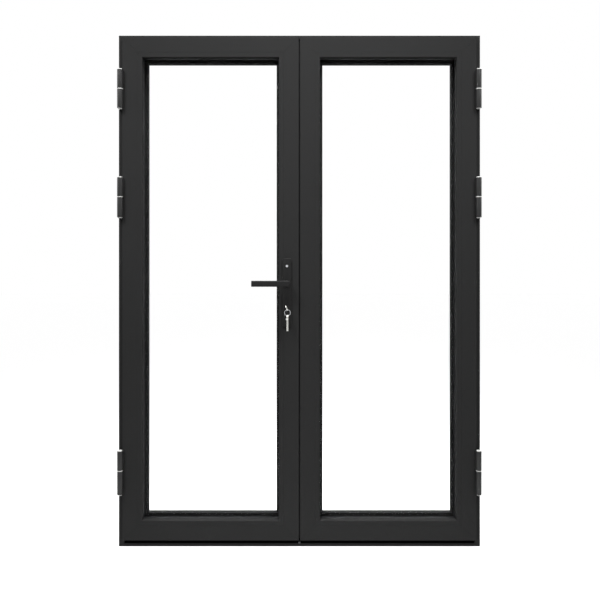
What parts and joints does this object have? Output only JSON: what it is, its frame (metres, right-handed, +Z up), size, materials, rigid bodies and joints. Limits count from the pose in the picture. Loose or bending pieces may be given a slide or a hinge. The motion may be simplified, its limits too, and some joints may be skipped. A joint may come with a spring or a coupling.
{
  "type": "french doors",
  "caption": "Pair of glazed metal french doors in a rebated frame, opening inwards on barrel hinges, with a lever handle, key lock and flush bolts.",
  "frame": {"origin": "middle of the underside of the threshold, halfway through the frame's depth", "axes": "+X to the right as seen from the room the leaves open into, +Y away from that room, +Z up"},
  "size_m": [1.485, 0.1515, 2.1],
  "materials": {
    "dark_profile": "fine matt powder coat, near-black grey",
    "black_hardware": "satin black coat",
    "glass": "clear float glass",
    "seal_rubber": "matt black",
    "white_nylon": "plain white",
    "spacer_aluminium": "mill, perforated face",
    "cast_aluminium": "as cast",
    "setting_plastic": "moulded",
    "lock_brass": "black nickel plate",
    "key_nickel": "polished nickel plate",
    "pad_plastic": "moulded grey",
    "bright_steel": "zinc plated"
  },
  "bodies": {
    "frame": {"left_jamb": "dark_profile", "right_jamb": "dark_profile", "head": "dark_profile", "threshold": "dark_profile", "frame_seals": "seal_rubber", "left_frame_knuckles": "black_hardware", "right_frame_knuckles": "black_hardware", "hinge_pins": "bright_steel", "hinge_washers": "white_nylon", "frame_knuckle_caps": "white_nylon", "head_bolt_keep": "black_hardware", "sill_bolt_keep": "black_hardware", "sill_centre_pad": "pad_plastic"},
    "left_leaf": {"left_hinge_stile": "dark_profile", "left_lock_stile": "dark_profile", "left_top_rail": "dark_profile", "left_bottom_rail": "dark_profile", "left_corner_cleats": "cast_aluminium", "left_glazing_beads": "dark_profile", "left_inner_pane": "glass", "left_outer_pane": "glass", "left_glass_spacer": "spacer_aluminium", "left_glazing_seals": "seal_rubber", "left_setting_blocks": "setting_plastic", "left_leaf_knuckles": "black_hardware", "left_knuckle_caps": "white_nylon", "left_leaf_seals": "seal_rubber", "lock_case": "bright_steel", "lock_faceplate": "bright_steel", "faceplate_screws": "bright_steel", "handle_plate": "black_hardware", "plate_screws": "bright_steel", "outer_plate": "black_hardware", "cylinder_body": "lock_brass"},
    "right_leaf": {"right_hinge_stile": "dark_profile", "right_meeting_stile": "dark_profile", "right_top_rail": "dark_profile", "right_bottom_rail": "dark_profile", "right_corner_cleats": "cast_aluminium", "right_glazing_beads": "dark_profile", "right_inner_pane": "glass", "right_outer_pane": "glass", "right_glass_spacer": "spacer_aluminium", "right_glazing_seals": "seal_rubber", "right_setting_blocks": "setting_plastic", "right_leaf_knuckles": "black_hardware", "right_knuckle_caps": "white_nylon", "right_leaf_seals": "seal_rubber", "strike_plate": "bright_steel"},
    "lever_set": {"lever": "black_hardware", "spindle": "bright_steel"},
    "latch": {"latch_bolt": "bright_steel"},
    "dead": {"deadbolt": "bright_steel"},
    "key_set": {"cylinder_plug": "lock_brass", "door_key": "key_nickel", "key_ring": "bright_steel", "spare_keys": "key_nickel"},
    "top_bolt": {"top_flush_bolt": "bright_steel"},
    "foot_bolt": {"bottom_flush_bolt": "bright_steel"}
  },
  "joints": [
    {"name": "left_leaf_hinge", "type": "hinge", "parent": "frame", "child": "left_leaf", "pos_m": [-0.731, -0.057, 1.05], "axis": [0, 0, -1], "range_deg": [0, 105]},
    {"name": "right_leaf_hinge", "type": "hinge", "parent": "frame", "child": "right_leaf", "pos_m": [0.731, -0.057, 1.05], "axis": [0, 0, 1], "range_deg": [0, 105]},
    {"name": "lever_turn", "type": "hinge", "parent": "left_leaf", "child": "lever_set", "pos_m": [-0.051, -0.053, 1.083], "axis": [0, -1, 0], "range_deg": [0, 45], "stiffness_Nm_per_rad": 1.2, "springref_deg": -20.05},
    {"name": "latch_slide", "type": "slide", "parent": "left_leaf", "child": "latch", "axis": [-1, 0, 0], "range_m": [0, 0.014]},
    {"name": "key_turn", "type": "hinge", "parent": "left_leaf", "child": "key_set", "pos_m": [-0.051, -0.057, 0.984], "axis": [0, -1, 0], "range_deg": [0, 150]},
    {"name": "deadbolt_slide", "type": "slide", "parent": "left_leaf", "child": "dead", "axis": [1, 0, 0], "range_m": [0, 0.02]},
    {"name": "top_bolt_slide", "type": "slide", "parent": "right_leaf", "child": "top_bolt", "axis": [0, 0, 1], "range_m": [0, 0.012]},
    {"name": "foot_bolt_slide", "type": "slide", "parent": "right_leaf", "child": "foot_bolt", "axis": [0, 0, -1], "range_m": [0, 0.032]}
  ],
  "couplings": [
    {"joint": "latch_slide", "follows": "lever_turn", "m_per_rad": 0.017824},
    {"joint": "deadbolt_slide", "follows": "key_turn", "m_per_rad": 0.007638}
  ]
}
